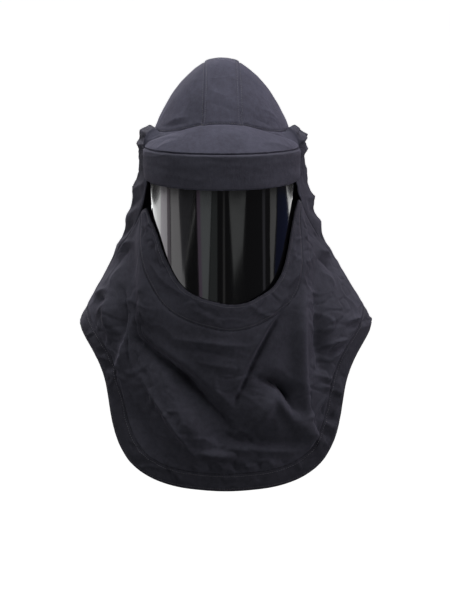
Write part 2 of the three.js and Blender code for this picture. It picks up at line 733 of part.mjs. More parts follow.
function addSidePanel(name, side) {
  const turns = frontTurns.filter((turn) => turn >= openingEdgeTurn).map((turn) => turn * side)
  const ordered = side > 0 ? turns : turns.reverse()
  const grid = sideRows.map((share) => ordered.map((turn) => {
    const top = -crownPoint(crownSeamDirection(turn)).z
    return { turn, fall: lerp(top, bibTop(turn), share) }
  }))
  addShroudPanel(name, grid, 'shroud')
}

const roundBack = [...backTurns, ...backTurns.slice(0, -1).reverse().map((turn) => 360 - turn)]

function backHemFoot(turn) {
  const plain = turn > 180 ? 360 - turn : turn
  const foot = hemFoot(plain, 90, 180)
  return turn > 180 ? 360 - foot : foot
}

function addBack() {
  const grid = backRows.map((share) => roundBack.map((turn) => {
    const plain = turn > 180 ? 360 - turn : turn
    const top = -crownPoint(crownSeamDirection(turn)).z
    const low = hemOffset(hemFoot(plain, 90, 180), hemWidth).fall
    return { turn, fall: lerp(top, low, share) }
  }))
  addShroudPanel('back_panel', grid, 'shroud')
}

function addHem(name, turns, footOf) {
  const rows = 2
  const grid = Array.from({ length: rows + 1 }, (_, r) => turns.map((turn) => {
    const foot = footOf(turn)
    const plain = foot > 180 ? 360 - foot : foot
    const seam = hemOffset(plain, hemWidth)
    const edge = hemEdge(plain)
    const share = r / rows
    return { turn: lerp(turn, foot, share), fall: lerp(seam.fall, edge, share) }
  }))
  addShroudPanel(name, grid, 'hem', { bottom: false })
}

addCrownCentre()
addCrownSide('crown_left', -1)
addCrownSide('crown_right', 1)
addPeak()
addGusset('peak_gusset_left', -1)
addGusset('peak_gusset_right', 1)
addBand()
addWindow()
addEdgeRoll('edge_roll_left', -1)
addEdgeRoll('edge_roll_right', 1)
addFacing()
addSidePanel('side_panel_left', -1)
addSidePanel('side_panel_right', 1)
addBib()
addBack()
addHem('hem_front', mirrored(frontTurns), (turn) => hemFoot(turn, -90, 90))
addHem('hem_back', roundBack, backHemFoot)

export default hood
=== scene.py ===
"""Looks of a cloth arc flash hood: crown, peak, padded band, curved window, shroud and stitched hem."""

import math  # noqa: E402
from collections import namedtuple  # noqa: E402

import bmesh  # noqa: E402
import bpy  # noqa: E402
import numpy as np  # noqa: E402
from mathutils import Matrix, Vector, noise  # noqa: E402
from mathutils.bvhtree import BVHTree  # noqa: E402
from mathutils.kdtree import KDTree  # noqa: E402


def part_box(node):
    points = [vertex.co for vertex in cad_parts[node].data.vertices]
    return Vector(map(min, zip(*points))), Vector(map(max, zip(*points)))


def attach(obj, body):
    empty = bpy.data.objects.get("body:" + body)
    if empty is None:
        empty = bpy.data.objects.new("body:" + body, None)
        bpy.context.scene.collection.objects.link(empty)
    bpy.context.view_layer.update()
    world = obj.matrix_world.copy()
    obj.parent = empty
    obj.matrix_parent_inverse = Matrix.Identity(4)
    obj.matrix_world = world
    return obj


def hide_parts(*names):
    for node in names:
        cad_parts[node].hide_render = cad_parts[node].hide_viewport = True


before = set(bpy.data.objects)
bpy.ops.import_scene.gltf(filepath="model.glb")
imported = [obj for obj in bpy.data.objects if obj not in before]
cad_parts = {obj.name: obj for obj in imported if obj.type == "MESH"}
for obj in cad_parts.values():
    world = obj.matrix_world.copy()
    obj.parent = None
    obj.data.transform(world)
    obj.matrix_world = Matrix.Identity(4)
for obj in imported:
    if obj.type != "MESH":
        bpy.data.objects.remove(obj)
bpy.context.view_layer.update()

bl_info = {
    "name": "Arc flash hood",
    "version": (1, 0, 0),
    "blender": (4, 5, 0),
    "location": "View3D > Sidebar > Hood",
    "description": "Dresses the cloth hood with its folds, seams, stitching, window and studio",
    "category": "Object",
}

MM = 0.001
# How far in front of the origin the curve of the window is centred
WINDOW_SETBACK = 70 * MM
# Thickness of the cloth walls in the CAD, which tells a panel's rim from its faces
CLOTH = 2.4 * MM
# Sharper than this between two faces is a panel's cut rim
RIM_ANGLE = math.radians(50)

# A panel of cloth: its node, the flat piece that it is cut from in millimetres, the cut's area in
# square metres, how it is held and the nodes that it hangs from
Panel = namedtuple("Panel", "node width length area held rests_on")

CROWN_PANELS = (
    Panel("crown_centre", 80, 410, 0.0237, "stretched", ()),
    Panel("crown_left", 140, 360, 0.0309, "stretched", ("crown_centre",)),
    Panel("crown_right", 140, 360, 0.0309, "stretched", ("crown_centre",)),
)
PEAK_PANELS = (
    Panel("peak", 90, 280, 0.0195, "stretched", ("crown_centre", "visor_band")),
    Panel("peak_gusset_left", 45, 62, 0.00186, "folded", ("crown_left", "peak")),
    Panel("peak_gusset_right", 45, 62, 0.00186, "folded", ("crown_right", "peak")),
)
FACING_PANELS = (
    Panel("opening_facing", 250, 265, 0.0231, "stretched", ("side_panel_left", "side_panel_right")),
)
SHROUD_PANELS = (
    Panel("side_panel_left", 66, 270, 0.0121, "gathered", ("crown_left",)),
    Panel("side_panel_right", 66, 265, 0.0115, "gathered", ("crown_right",)),
    Panel("bib", 400, 560, 0.1526, "hung", ("opening_facing", "side_panel_left", "side_panel_right")),
    Panel("back_panel", 620, 620, 0.2643, "hung", ("crown_left", "crown_right", "crown_centre")),
)
HEM_PANELS = (
    Panel("hem_front", 31, 980, 0.0295, "hung", ("bib",)),
    Panel("hem_back", 31, 960, 0.0287, "hung", ("back_panel",)),
)

# A crease: from one place to another in millimetres across and down from the origin, as seen from the
# front or back. Bow is how far its middle bows up, or to the right where it runs down. Width is how far
# it spreads, and height is out of the cloth or, negative, into it.
Crease = namedtuple("Crease", "across down to_across to_down bow width height")

# Soft folds of the front: the broad ones of the bib, then those over the shoulders
FRONT_FOLDS = (
    Crease(-138, 468, 16, 592, 7, 10, 5),
    Crease(92, 568, 62, 625, 0, 11, 5),
    Crease(96, 568, 116, 615, 0, 8, 4),
    Crease(120, 608, 164, 664, 0, 16, 6),
    Crease(140, 402, 152, 640, -10, 11, 6),
    Crease(170, 410, 176, 540, 0, 10, -6.5),
    Crease(-40, 675, 18, 680, 0, 8, 5),
    Crease(-74, 600, -30, 655, 0, 18, 4.5),
    Crease(-164, 585, -100, 690, 0, 18, -5),
    Crease(-6, 646, 119, 660, 0, 9, -4.5),
    Crease(10, 664, 134, 672, 0, 8, 3.5),
    Crease(-195, 408, -201, 465, 0, 8, 4.5),
    Crease(-176, 400, -174, 480, 0, 8, -6),
    Crease(-154, 447, -178, 533, 0, 9, 5),
)
# Crisp creases of the front: the long valleys and ridges, the hook, then those under the facing
FRONT_CREASES = (
    Crease(-145, 482, 12, 625, 8, 8, -7),
    Crease(-140, 543, -38, 692, 0, 7, 5),
    Crease(121, 405, 21, 591, -6, 4.5, -4),
    Crease(110, 402, 14, 582, -6, 6, 2.6),
    Crease(66, 544, 124, 597, 13, 6, -8.5),
    Crease(-85, 474, 45, 486, 0, 5, 1.8),
    Crease(-72, 492, 22, 506, 3, 5, -1.8),
    Crease(-45, 514, 30, 524, 0, 5, 1.5),
    Crease(-130, 335, -70, 395, -6, 5, 2),
    Crease(142, 335, 116, 384, 4, 5, 2.2),
)
CROWN_CREASES = (
    Crease(-98, 109, -60, 93, 3, 6, 3),
    Crease(-108, 115, -64, 103, 0, 6, -1.8),
    Crease(66, 80, 100, 107, 4, 6, 2.8),
    Crease(56, 94, 88, 111, 0, 6, -1.8),
    Crease(-28, 44, 8, 56, 0, 7, 1.6),
    Crease(-22, 66, 14, 76, 0, 7, -1.6),
)
BACK_FOLDS = (
    Crease(-60, 190, -20, 330, 6, 10, 2.5),
    Crease(70, 180, 30, 320, -6, 10, 2.5),
    Crease(-120, 240, -60, 330, 0, 10, -2.5),
    Crease(125, 230, 70, 340, 0, 10, -2.5),
    Crease(-30, 360, -50, 560, 8, 12, 3),
    Crease(60, 380, 80, 600, -8, 12, -3),
    Crease(-140, 400, -190, 560, 0, 12, 3),
    Crease(150, 400, 205, 560, 0, 12, -3),
)

# A bunch of creases, out of and into the cloth by turns, whose middles run from one place to another.
# Tilt is how far each falls to the right, in degrees.
Bunch = namedtuple("Bunch", "across down to_across to_down count length tilt width height")

EAR_BUNCHES = (
    Bunch(-140, 122, -142, 166, 4, 28, -22, 4.2, 1.8),
    Bunch(140, 108, 144, 180, 6, 22, -20, 4, 2),
)
SIDE_BUNCHES = (
    Bunch(-143, 215, -186, 388, 7, 42, -52, 5.5, 2.4),
    Bunch(154, 196, 188, 392, 9, 32, 42, 4.6, 2.6),
)
SHOULDER_BUNCHES = (
    Bunch(-204, 495, -184, 552, 5, 30, 22, 4, 2.8),
    Bunch(196, 486, 206, 515, 3, 38, -22, 4, 3),
    Bunch(178, 544, 198, 586, 4, 34, 30, 3.8, 3.2),
    Bunch(-212, 402, -206, 440, 3, 26, -40, 4, 2.6),
    Bunch(232, 448, 242, 474, 3, 26, -10, 4, 2.6),
)
HEM_BUNCHES = (
    Bunch(-152, 668, -88, 704, 5, 52, 38, 4, 3),
    Bunch(-56, 704, 142, 694, 9, 20, 62, 4, 2.4),
    Bunch(168, 664, 192, 610, 4, 30, 34, 4, 2.6),
)
PEAK_BUNCHES = (
    Bunch(-98, 142, -96, 122, 4, 54, -20, 3.2, 2.8),
    Bunch(97, 142, 92, 118, 4, 54, 22, 3.2, 2.8),
)


def srgb(code):
    """The linear red, green and blue of a hex colour."""
    shares = [int(code[i : i + 2], 16) / 255 for i in (1, 3, 5)]
    return tuple(s / 12.92 if s <= 0.04045 else ((s + 0.055) / 1.055) ** 2.4 for s in shares)


class HoodClothSettings(bpy.types.PropertyGroup):
    """Sizes and colours of the cloth."""

    # The crown's and peak's colour is the shroud's cloth set lighter: painted top light
    crown_colour: bpy.props.FloatVectorProperty(
        name="Crown", description="Cloth of the crown and the peak", subtype="COLOR", size=3,
        min=0, max=1, default=srgb("#3d3d48"))
    shroud_colour: bpy.props.FloatVectorProperty(
        name="Shroud", description="Cloth of the shroud and the facing", subtype="COLOR", size=3,
        min=0, max=1, default=srgb("#34343c"))
    band_colour: bpy.props.FloatVectorProperty(
        name="Band", description="Cloth of the padded band and the rolled edges", subtype="COLOR", size=3,
        min=0, max=1, default=srgb("#3a3a43"))
    hem_colour: bpy.props.FloatVectorProperty(
        name="Hem", description="Cloth of the hem bands", subtype="COLOR", size=3,
        min=0, max=1, default=srgb("#2d2d34"))
    thread_colour: bpy.props.FloatVectorProperty(
        name="Thread", description="Sewing thread", subtype="COLOR", size=3,
        min=0, max=1, default=srgb("#3b3a43"))
    smoothing: bpy.props.IntProperty(
        name="Smoothing", description="Times that each panel's faces are divided", min=1, max=3, default=3)
    weave_pitch: bpy.props.FloatProperty(
        name="Weave pitch", description="Distance from one twill line to the next, as drawn",
        subtype="DISTANCE", unit="LENGTH", default=1.7 * MM)
    wrinkle_height: bpy.props.FloatProperty(
        name="Wrinkle height", description="How far the small wrinkles rise and sink",
        subtype="DISTANCE", unit="LENGTH", default=2.2 * MM)
    fold_share: bpy.props.FloatProperty(
        name="Folds", description="How strong the folds and creases of the shroud are", subtype="FACTOR",
        min=0, max=3, default=2.4)
    crumple_height: bpy.props.FloatProperty(
        name="Crumple height", description="How far the sharp little wrinkles of the shroud rise",
        subtype="DISTANCE", unit="LENGTH", default=3.6 * MM)
    seam_depth: bpy.props.FloatProperty(
        name="Seam depth", description="How far the cloth dips at a seam",
        subtype="DISTANCE", unit="LENGTH", default=1.5 * MM)
    seam_closing: bpy.props.FloatProperty(
        name="Seam closing", description="How far a panel's cut edge is let out to meet its neighbour",
        subtype="DISTANCE", unit="LENGTH", default=0.4 * MM)
    stitch_pitch: bpy.props.FloatProperty(
        name="Stitch pitch", description="Distance from one stitch to the next",
        subtype="DISTANCE", unit="LENGTH", default=4.2 * MM)
    stitch_inset: bpy.props.FloatProperty(
        name="Stitch inset", description="Distance from a panel's edge to its row of stitches",
        subtype="DISTANCE", unit="LENGTH", default=3.4 * MM)


class HoodWindowSettings(bpy.types.PropertyGroup):
    """Colour and gloss of the window."""

    window_colour: bpy.props.FloatVectorProperty(
        name="Window", description="Smoky tint of the window", subtype="COLOR", size=3,
        min=0, max=1, default=srgb("#0b0b0d"))
    window_roughness: bpy.props.FloatProperty(
        name="Window roughness", description="Haze of the window's face", subtype="FACTOR",
        min=0, max=1, default=0.045)


class HoodStudioSettings(bpy.types.PropertyGroup):
    """The camera and the lights."""

    camera_distance: bpy.props.FloatProperty(
        name="Camera distance", description="From the middle of the hood to the camera",
        subtype="DISTANCE", unit="LENGTH", default=20.0)
    camera_elevation: bpy.props.FloatProperty(
        name="Camera elevation", description="How far above level the camera looks from",
        subtype="ANGLE", unit="ROTATION", default=math.radians(7))
    view_height: bpy.props.FloatProperty(
        name="View height", description="Height of what the camera sees at the hood",
        subtype="DISTANCE", unit="LENGTH", default=1.05)
    floor_colour: bpy.props.FloatVectorProperty(
        name="Floor", description="Matte paint of the floor", subtype="COLOR", size=3,
        min=0, max=1, default=srgb("#f7f7f7"))


def cloth_settings():
    return bpy.context.scene.hood_cloth


def panel_mesh(node):
    """A copy of a CAD node's mesh, with its corners merged and its triangles joined to quads."""
    form = bmesh.new()
    form.from_mesh(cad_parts[node].data)
    bmesh.ops.remove_doubles(form, verts=form.verts, dist=0.01 * MM)
    bmesh.ops.join_triangles(
        form, faces=form.faces, angle_face_threshold=math.radians(60), angle_shape_threshold=math.radians(70))
    return form


def rim_line(form):
    """The outer edge of a wall as closed lines of (place, outward direction, direction into the panel)."""
    across_rim = {edge for edge in form.edges if abs(edge.calc_length() - CLOTH) < 0.005 * MM}
    middle = sum((v.co for v in form.verts), Vector()) / len(form.verts)
    axis = Vector((0, 0, min(-0.142, middle.z)))
    facing = {}
    for edge in across_rim:
        near, far = sorted(edge.verts, key=lambda v: (v.co - axis).length)
        facing[far] = (far.co - near.co).normalized()
    steps = {}
    for face in form.faces:
        if sum(edge in across_rim for edge in face.edges) == 2:
            outer = [v for v in face.verts if v in facing]
            if len(outer) == 2:
                steps.setdefault(outer[0], []).append(outer[1])
                steps.setdefault(outer[1], []).append(outer[0])
    middle_of = {v: form_middle(v, facing) for v in steps}
    lines = []
    left = set(steps)
    while left:
        line = [left.pop()]
        while True:
            onward = [v for v in steps[line[-1]] if v in left]
            if not onward:
                break
            left.remove(onward[0])
            line.append(onward[0])
        if len(line) > 3:
            lines.append([(v.co.copy(), facing[v], middle_of[v]) for v in line])
    return lines


def form_middle(vert, facing):
    """The way from a rim's corner into its panel, from the neighbours that aren't on the rim."""
    inside = [edge.other_vert(vert).co for edge in vert.link_edges if edge.other_vert(vert) not in facing]
    broad = [co for co in inside if abs((co - vert.co).length - CLOTH) > 0.005 * MM]
    if not broad:
        return Vector()
    return (sum(broad, Vector()) / len(broad) - vert.co).normalized()


def finished_mesh(name, form, levels, rim=1.0):
    """Smooths a form with Subdivision Surface, with its rim kept as sharp as asked, and bakes it."""
    crease = form.edges.layers.float.new("crease_edge")
    for edge in form.edges:
        if edge.is_manifold and edge.calc_face_angle() > RIM_ANGLE:
            edge[crease] = rim
    for face in form.faces:
        face.smooth = True
    mesh = bpy.data.meshes.new(name)
    form.to_mesh(mesh)
    form.free()
    draft = bpy.data.objects.new(name + "_draft", mesh)
    bpy.context.scene.collection.objects.link(draft)
    smoothing = draft.modifiers.new("smoothing", "SUBSURF")
    smoothing.levels = levels
    smoothing.render_levels = levels
    ready = bpy.data.meshes.new_from_object(draft.evaluated_get(bpy.context.evaluated_depsgraph_get()))
    bpy.data.objects.remove(draft)
    bpy.data.meshes.remove(mesh)
    ready.name = name
    return ready


def places(mesh):
    """A mesh's vertices as an array."""
    values = np.empty(len(mesh.vertices) * 3)
    mesh.vertices.foreach_get("co", values)
    return values.reshape(-1, 3)


def bunched(bunches):
    """The single creases of some bunches, a little uneven in length and tilt."""
    creases = []
    for bunch in bunches:
        for i in range(bunch.count):
            share = (i + 0.5) / bunch.count
            across = bunch.across + (bunch.to_across - bunch.across) * share
            down = bunch.down + (bunch.to_down - bunch.down) * share
            tilt = math.radians(bunch.tilt + 9 * math.sin(1.7 * i + bunch.down))
            half = bunch.length / 2 * (1 + 0.25 * math.sin(2.4 * i + bunch.across))
            reach = Vector((half * math.cos(tilt), half * math.sin(tilt)))
            height = bunch.height if i % 2 == 0 else -bunch.height
            creases.append(Crease(
                across - reach.x, down - reach.y, across + reach.x, down + reach.y, 0.08 * bunch.length,
                bunch.width, height))
    return tuple(creases)


def front_creases():
    """Every crisp crease of the front, the same for each panel so that neighbours move together."""
    return FRONT_CREASES + bunched(EAR_BUNCHES + SIDE_BUNCHES + SHOULDER_BUNCHES + HEM_BUNCHES)


def crease_height(points, creases, sharpness):
    """How far a list of creases pushes each point. Sharpness 1 makes a crisp line, 2 a round top."""
    flat = np.stack([points[:, 0], -points[:, 2]], axis=1) / MM
    height = np.zeros(len(points))
    for crease in creases:
        start = np.array([crease.across, crease.down])
        run = np.array([crease.to_across, crease.to_down]) - start
        length = np.linalg.norm(run)
        side = np.array([run[1], -run[0]]) / length
        share = np.clip(((flat - start) @ run) / length**2, 0, 1)
        nearest = start + share[:, None] * run + (crease.bow * np.sin(np.pi * share))[:, None] * side
        away = np.linalg.norm(flat - nearest, axis=1)
        fade = np.sin(np.pi * (0.12 + 0.76 * share))
        height += crease.height * fade * np.exp(-((away / crease.width) ** sharpness))
    return height * MM


def ripple(points, wave, seed):
    """Smooth noise from -1 to 1 over a wave length, the same for the same place."""
    shift = Vector((seed * 17.3, seed * 5.1, seed * 9.7))
    return np.array([noise.noise(Vector(p) / wave + shift) for p in points])


def wrinkles(points, stretch):
    """The small unevenness of worn cloth: broad swells, soft wrinkles and a few crisp lines."""
    lain = points * np.array(stretch)
    swell = ripple(lain, 85 * MM, 1)
    soft = ripple(lain, 34 * MM, 2)
    crisp = 1 - np.abs(ripple(lain, 60 * MM, 3)) * 5
    fine = ripple(lain, 15 * MM, 4)
    lines = np.clip(crisp, 0, 1) ** 2 * (0.5 + 0.5 * swell)
    return (swell + 0.55 * soft + 0.9 * lines + 0.2 * fine) * cloth_settings().wrinkle_height


def crumple(points):
    """The sharp little wrinkles of cloth that has been folded away: ridges where a noise crosses zero,
    which come and go over the panel."""
    ridges = np.clip(1 - 6 * np.abs(ripple(points, 46 * MM, 6)), 0, 1)
    cross = np.clip(1 - 7 * np.abs(ripple(points * np.array([1, 1, 1.6]), 31 * MM, 7)), 0, 1)
    where = np.clip(0.35 + 1.3 * ripple(points, 95 * MM, 8), 0, 1)
    return (ridges - 0.8 * cross) * where * cloth_settings().crumple_height


def rim_distance(points, lines):
    """Distance of each point from the nearest cut edge, and the way from that edge into the panel."""
    samples = []
    inward = []
    for line in lines:
        for (start, _, way), (end, *_) in zip(line, line[1:] + line[:1]):
            count = max(1, int((end - start).length / (2 * MM)))
            samples += [start.lerp(end, i / count) for i in range(count)]
            inward += [way] * count
    tree = KDTree(len(samples))
    for i, sample in enumerate(samples):
        tree.insert(sample, i)
    tree.balance()
    found = [tree.find(p) for p in points]
    return np.array([hit[2] for hit in found]), np.array([inward[hit[1]] for hit in found])


def pushed(mesh, outward, height):
    """Moves each vertex outward by its height, and keeps flat-shaded edges only at the cut rims."""
    moved = places(mesh) + outward * height[:, None]
    mesh.vertices.foreach_set("co", moved.ravel())
    mesh.update()
    mesh.set_sharp_from_angle(angle=RIM_ANGLE)


def keep_distance(mesh, distance):
    """Stores the distance from the seam in millimetres, which the cloth's rubbed wear, its painted edge
    highlight and its painted seam shadow follow.
    """
    worn = mesh.attributes.new("seam_distance", "FLOAT", "POINT")
    worn.data.foreach_set("value", (distance / MM).astype(np.float32))


def from_crown(points):
    away = points - np.array([0, 0, -0.142])
    return away / np.linalg.norm(away, axis=1)[:, None]


def from_axis(points):
    away = points * np.array([1, 1, 0])
    return away / np.maximum(np.linalg.norm(away, axis=1), 1e-6)[:, None]


def stand(name, mesh, material, nodes):
    """Puts a finished mesh in the scene in place of CAD nodes."""
    mesh.materials.clear()
    mesh.materials.append(material)
    piece = bpy.data.objects.new(name, mesh)
    bpy.context.scene.collection.objects.link(piece)
    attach(piece, "root")
    if nodes:
        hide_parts(*nodes)
    return piece


def stitch_rows(piece, lines, inset, material):
    """A row of short raised stitches inside a panel's cut edge, laid on its finished face."""
    settings = cloth_settings()
    surface = BVHTree.FromPolygons(
        [v.co for v in piece.data.vertices], [p.vertices[:] for p in piece.data.polygons])
    form = bmesh.new()
    for line in lines:
        inner = [co + inward * inset for co, _, inward in line]
        ups = [up for _, up, _ in line]
        carried = 0.0
        for i, start in enumerate(inner):
            end = inner[(i + 1) % len(inner)]
            step = end - start
            while carried < step.length:
                share = carried / step.length
                carried += settings.stitch_pitch
                if step.length > 60 * MM:
                    continue
                up = ups[i].lerp(ups[(i + 1) % len(ups)], share).normalized()
                spot, normal, _, _ = surface.find_nearest(start + step * share + up * 2 * MM)
                if normal.dot(up) < 0.2:
                    continue
                along = (step - step.dot(normal) * normal).normalized()
                turned = Matrix((along, normal.cross(along), normal)).transposed().to_4x4()
                size = Matrix.Diagonal((0.36 * settings.stitch_pitch, 0.5 * MM, 0.45 * MM, 1))
                place = Matrix.Translation(spot + 0.1 * MM * normal) @ turned @ size
                bmesh.ops.create_uvsphere(form, u_segments=5, v_segments=4, radius=1, matrix=place)
            carried -= step.length
    for face in form.faces:
        face.smooth = True
    mesh = bpy.data.meshes.new(piece.name + "_stitches")
    form.to_mesh(mesh)
    form.free()
    return stand(piece.name + "_stitches", mesh, material, ())


def add_node(tree, kind, links=(), **settings):
    """Adds a node, sets its values and sockets, and links (output socket, input name) pairs to it."""
    node = tree.nodes.new(kind)
    for name, value in settings.items():
        if hasattr(node, name):
            setattr(node, name, value)
        else:
            node.inputs[name.replace("_", " ").title()].default_value = value
    for output, entry in links:
        tree.links.new(output, node.inputs[entry])
    return node


def new_material(name):
    """An empty material with a Principled shader and its output."""
    material = bpy.data.materials.new(name)
    material.use_nodes = True
    tree = material.node_tree
    tree.nodes.clear()
    shader = tree.nodes.new("ShaderNodeBsdfPrincipled")
    output = tree.nodes.new("ShaderNodeOutputMaterial")
    tree.links.new(shader.outputs["BSDF"], output.inputs["Surface"])
    return material, tree, shader


def tint(colour, share):
    """A colour made lighter or darker by a share."""
    return tuple(min(1, c * share) for c in colour) + (1,)


def cotton_twill(name, colour, sheen, lint_and_edge_highlight):
    """Brushed flame-resistant cotton twill, vat dyed. Its nap gives it a soft violet-grey rim where it
    turns from the eye, its diagonal ribs break up the light, and loose fibres, rubbing and a painted
    highlight lighten its edges."""
    settings = cloth_settings()
    material, tree, shader = new_material(name)
    place = add_node(tree, "ShaderNodeTexCoord").outputs["Object"]
    # The distance from a seam, which sets the rubbed edges with their painted highlight and the painted
    # shadow in the seam
    worn = add_node(tree, "ShaderNodeAttribute", attribute_name="seam_distance").outputs["Fac"]

    # Uneven dye and dust, in patches about 60 mm and 9 mm wide
    patches = add_node(
        tree, "ShaderNodeTexNoise", [(place, "Vector")], Scale=1 / (60 * MM), Detail=3, Roughness=0.55)
    specks = add_node(
        tree, "ShaderNodeTexNoise", [(place, "Vector")], Scale=1 / (9 * MM), Detail=4, Roughness=0.7)
    mixed = add_node(
        tree, "ShaderNodeMath", [(patches.outputs["Fac"], 0), (specks.outputs["Fac"], 1)], operation="ADD")
    dye = add_node(tree, "ShaderNodeValToRGB")
    tree.links.new(add_node(
        tree, "ShaderNodeMapRange", [(mixed.outputs["Value"], "Value")]).outputs["Result"], dye.inputs["Fac"])
    spread = dye.color_ramp.elements
    tree.nodes["Map Range"].inputs["From Min"].default_value = 0.72
    tree.nodes["Map Range"].inputs["From Max"].default_value = 1.28
    spread[0].color = tint(colour, 0.78)
    spread[1].color = tint(colour, 1.2)

    # Rubbed edges with a painted highlight, lighter over the last 4 mm to a seam
    rubbed_and_highlit_edge = add_node(tree, "ShaderNodeMapRange", [(worn, "Value")], From_Min=1.2, From_Max=4.5,
                      To_Min=lint_and_edge_highlight, To_Max=0.0)
    base = add_node(tree, "ShaderNodeMix", data_type="RGBA")
    tree.links.new(rubbed_and_highlit_edge.outputs["Result"], base.inputs[0])
    tree.links.new(dye.outputs["Color"], base.inputs[6])
    # The edge's lightest colour: rubbed wear and a painted highlight
    base.inputs[7].default_value = tint(colour, 2.2)

    # The shadow in the seam itself, 1.5 mm wide on each side
    open_cloth = add_node(tree, "ShaderNodeMapRange", [(worn, "Value")], From_Min=0.5, From_Max=1.5)
    seamed = add_node(tree, "ShaderNodeMix", [(open_cloth.outputs["Result"], 0), (base.outputs[2], 7)],
                      data_type="RGBA")
    seamed.inputs[6].default_value = tint(colour, 0.3)
    tree.links.new(seamed.outputs[2], shader.inputs["Base Color"])

    # Twill ribs, 0.6 mm apart on the real cloth. They are drawn coarser, as short uneven streaks on a
    # diagonal, because even lines of that pitch would shimmer in the render.
    diagonal = add_node(tree, "ShaderNodeMapping", [(place, "Vector")])
    diagonal.inputs["Rotation"].default_value = (0, math.radians(52), math.radians(24))
    diagonal.inputs["Scale"].default_value = (1, 0.45, 0.3)
    ribs = add_node(
        tree, "ShaderNodeTexNoise", [(diagonal.outputs["Vector"], "Vector")],
        Scale=1 / (settings.weave_pitch * 1.6), Detail=2, Roughness=0.5)
    nap = add_node(tree, "ShaderNodeTexNoise", [(place, "Vector")], Scale=1 / (1.1 * MM), Detail=4,
                   Roughness=0.75)
    relief = add_node(
        tree, "ShaderNodeMath", [(ribs.outputs["Fac"], 0), (nap.outputs["Fac"], 1)], operation="ADD")
    bump = add_node(tree, "ShaderNodeBump", [(relief.outputs["Value"], "Height")], Strength=0.8,
                    Distance=0.4 * MM)
    tree.links.new(bump.outputs["Normal"], shader.inputs["Normal"])
    shader.inputs["Roughness"].default_value = 0.88
    shader.inputs["Specular IOR Level"].default_value = 0.12
    shader.inputs["Sheen Weight"].default_value = sheen
    shader.inputs["Sheen Roughness"].default_value = 0.42
    shader.inputs["Sheen Tint"].default_value = srgb("#a9a3bd") + (1,)
    return material


def aramid_thread():
    """Twisted aramid sewing thread: a dull grey with a little lustre, lighter than the cloth."""
    material, tree, shader = new_material("aramid sewing thread")
    place = add_node(tree, "ShaderNodeTexCoord").outputs["Object"]
    strands = add_node(tree, "ShaderNodeTexNoise", [(place, "Vector")], Scale=1 / (0.8 * MM), Detail=2)
    shade = add_node(tree, "ShaderNodeValToRGB", [(strands.outputs["Fac"], "Fac")])
    shade.color_ramp.elements[0].color = tint(cloth_settings().thread_colour, 0.7)
    shade.color_ramp.elements[1].color = tint(cloth_settings().thread_colour, 1.15)
    tree.links.new(shade.outputs["Color"], shader.inputs["Base Color"])
    shader.inputs["Roughness"].default_value = 0.6
    shader.inputs["Sheen Weight"].default_value = 0.2
    return material


def smoky_polycarbonate():
    """Cast polycarbonate with a dark smoke tint, hard coated: almost black, with sharp reflections that
    a few hairline scratches and a slight orange-peel waviness soften."""
    settings = bpy.context.scene.hood_window
    material, tree, shader = new_material("smoky hard-coated polycarbonate")
    place = add_node(tree, "ShaderNodeTexCoord").outputs["Object"]
    wave = add_node(tree, "ShaderNodeTexNoise", [(place, "Vector")], Scale=1 / (70 * MM), Detail=1)
    bump = add_node(tree, "ShaderNodeBump", [(wave.outputs["Fac"], "Height")], Strength=0.12,
                    Distance=0.5 * MM)
    haze = add_node(tree, "ShaderNodeTexNoise", [(place, "Vector")], Scale=1 / (25 * MM), Detail=5,
                    Roughness=0.7)
    dulled = add_node(
        tree, "ShaderNodeMapRange", [(haze.outputs["Fac"], "Value")], To_Min=settings.window_roughness,
        To_Max=2.2 * settings.window_roughness)
    tree.links.new(dulled.outputs["Result"], shader.inputs["Roughness"])
    tree.links.new(bump.outputs["Normal"], shader.inputs["Normal"])
    shader.inputs["Base Color"].default_value = tuple(settings.window_colour) + (1,)
    shader.inputs["IOR"].default_value = 1.58
    shader.inputs["Coat Weight"].default_value = 0.25
    shader.inputs["Coat Roughness"].default_value = 0.03
    return material


def matte_paint(colour):
    """Matte emulsion paint of the studio's floor: an even white with a faint roller texture."""
    material, tree, shader = new_material("matte studio paint")
    place = add_node(tree, "ShaderNodeTexCoord").outputs["Object"]
    roller = add_node(tree, "ShaderNodeTexNoise", [(place, "Vector")], Scale=1 / (12 * MM), Detail=3)
    bump = add_node(tree, "ShaderNodeBump", [(roller.outputs["Fac"], "Height")], Strength=0.05,
                    Distance=0.2 * MM)
    tree.links.new(bump.outputs["Normal"], shader.inputs["Normal"])
    shader.inputs["Base Color"].default_value = tuple(colour) + (1,)
    shader.inputs["Roughness"].default_value = 0.9
    shader.inputs["Emission Color"].default_value = tuple(colour) + (1,)
    shader.inputs["Emission Strength"].default_value = 1.05
    return material


def cloth(name, kind):
    """The hood's cloths, each made once."""
    if name in bpy.data.materials:
        return bpy.data.materials[name]
    settings = cloth_settings()
    # The crown's twill is the shroud's cloth in a lighter colour: painted top light
    if kind == "crown":
        return cotton_twill(name, settings.crown_colour, 0.16, 0.12)
    if kind == "band":
        return cotton_twill(name, settings.band_colour, 0.16, 0.12)
    if kind == "hem":
        return cotton_twill(name, settings.hem_colour, 0.1, 0.1)
    if kind == "thread":
        return aramid_thread()
    return cotton_twill(name, settings.shroud_colour, 0.12, 0.1)


def thread():
    name = "aramid sewing thread"
    return bpy.data.materials.get(name) or aramid_thread()


